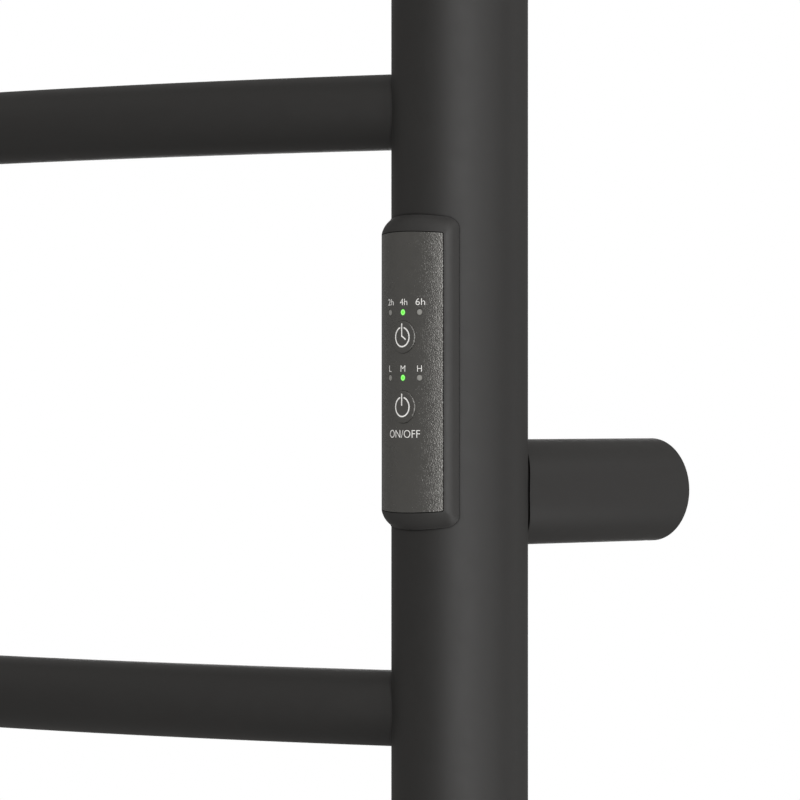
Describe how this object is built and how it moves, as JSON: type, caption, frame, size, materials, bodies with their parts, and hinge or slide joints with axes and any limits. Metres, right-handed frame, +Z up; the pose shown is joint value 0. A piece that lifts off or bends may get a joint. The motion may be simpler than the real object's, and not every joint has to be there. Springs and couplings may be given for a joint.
{
  "type": "towel warmer rack",
  "caption": "Wall-hung electric towel warmer: round posts, bowed tubular bars, wall standoffs and a slim two-key control with indicator lights on one post.",
  "frame": {"origin": "centre of the four wall screws, on the wall plane", "axes": "+X along the bars to the right as seen from the room, +Y into the wall (the front faces -Y), +Z up"},
  "size_m": [0.5, 0.1408, 1.009],
  "materials": {
    "powder_coat": "matte anthracite powder coat with a very fine grain",
    "cap_plastic": "matte moulded plastic, coloured to match the coat",
    "saddle_rubber": "matte",
    "cast_zinc": "as cast",
    "zinc_steel": "zinc plated",
    "housing_plastic": "matte anthracite coat to match the post",
    "label_film": "fine sandy textured film",
    "lens_off": "frosted grey light pipe, not lit",
    "lens_lit": "green light pipe, lit",
    "key_plastic": "fine sandy textured key top",
    "black_plastic": "moulded",
    "switch_plunger": "moulded",
    "circuit_board": "green solder mask",
    "led_chip": "clear epoxy",
    "cable_jacket": "silicone jacket",
    "terminal_plastic": "moulded"
  },
  "bodies": {
    "frame": {"post_left": "powder_coat", "post_right": "powder_coat", "bar_1": "powder_coat", "bar_2": "powder_coat", "bar_3": "powder_coat", "bar_4": "powder_coat", "bar_5": "powder_coat", "bar_6": "powder_coat", "standoff_top_left": "powder_coat", "standoff_top_right": "powder_coat", "standoff_bottom_left": "powder_coat", "standoff_bottom_right": "powder_coat", "cap_top_left": "cap_plastic", "cap_top_right": "cap_plastic", "cap_bottom_left": "cap_plastic", "cap_bottom_right": "cap_plastic", "saddle_top_left": "saddle_rubber", "saddle_top_right": "saddle_rubber", "saddle_bottom_left": "saddle_rubber", "saddle_bottom_right": "saddle_rubber", "gland_seal": "saddle_rubber", "housing_gasket": "saddle_rubber", "wall_disc_top_left": "cast_zinc", "wall_disc_top_right": "cast_zinc", "wall_disc_bottom_left": "cast_zinc", "wall_disc_bottom_right": "cast_zinc", "post_inserts": "zinc_steel", "standoff_bolts": "zinc_steel", "grub_screws": "zinc_steel", "housing_screws": "zinc_steel", "earth_stud": "zinc_steel", "control_housing": "housing_plastic", "label_plate": "label_film", "lens_2h": "lens_off", "lens_6h": "lens_off", "lens_low": "lens_off", "lens_high": "lens_off", "lens_4h": "lens_lit", "lens_medium": "lens_lit", "timer_switch": "black_plastic", "power_switch": "black_plastic", "board_tray": "black_plastic", "board_relay": "black_plastic", "board_capacitor": "black_plastic", "cord_gland": "black_plastic", "gland_nut": "black_plastic", "control_board": "circuit_board", "indicator_leds": "led_chip", "heating_cable": "cable_jacket", "wiring": "cable_jacket", "terminal_block": "terminal_plastic", "thermal_cutout": "terminal_plastic", "temperature_sensor": "terminal_plastic"},
    "timer_button": {"timer_button": "key_plastic", "timer_plunger": "switch_plunger"},
    "power_button": {"power_button": "key_plastic", "power_plunger": "switch_plunger"}
  },
  "joints": [
    {"name": "timer_button_press", "type": "slide", "parent": "frame", "child": "timer_button", "axis": [0, 1, 0], "range_m": [0, 0.0005], "stiffness_N_per_m": 1500},
    {"name": "power_button_press", "type": "slide", "parent": "frame", "child": "power_button", "axis": [0, 1, 0], "range_m": [0, 0.0005], "stiffness_N_per_m": 1500}
  ]
}
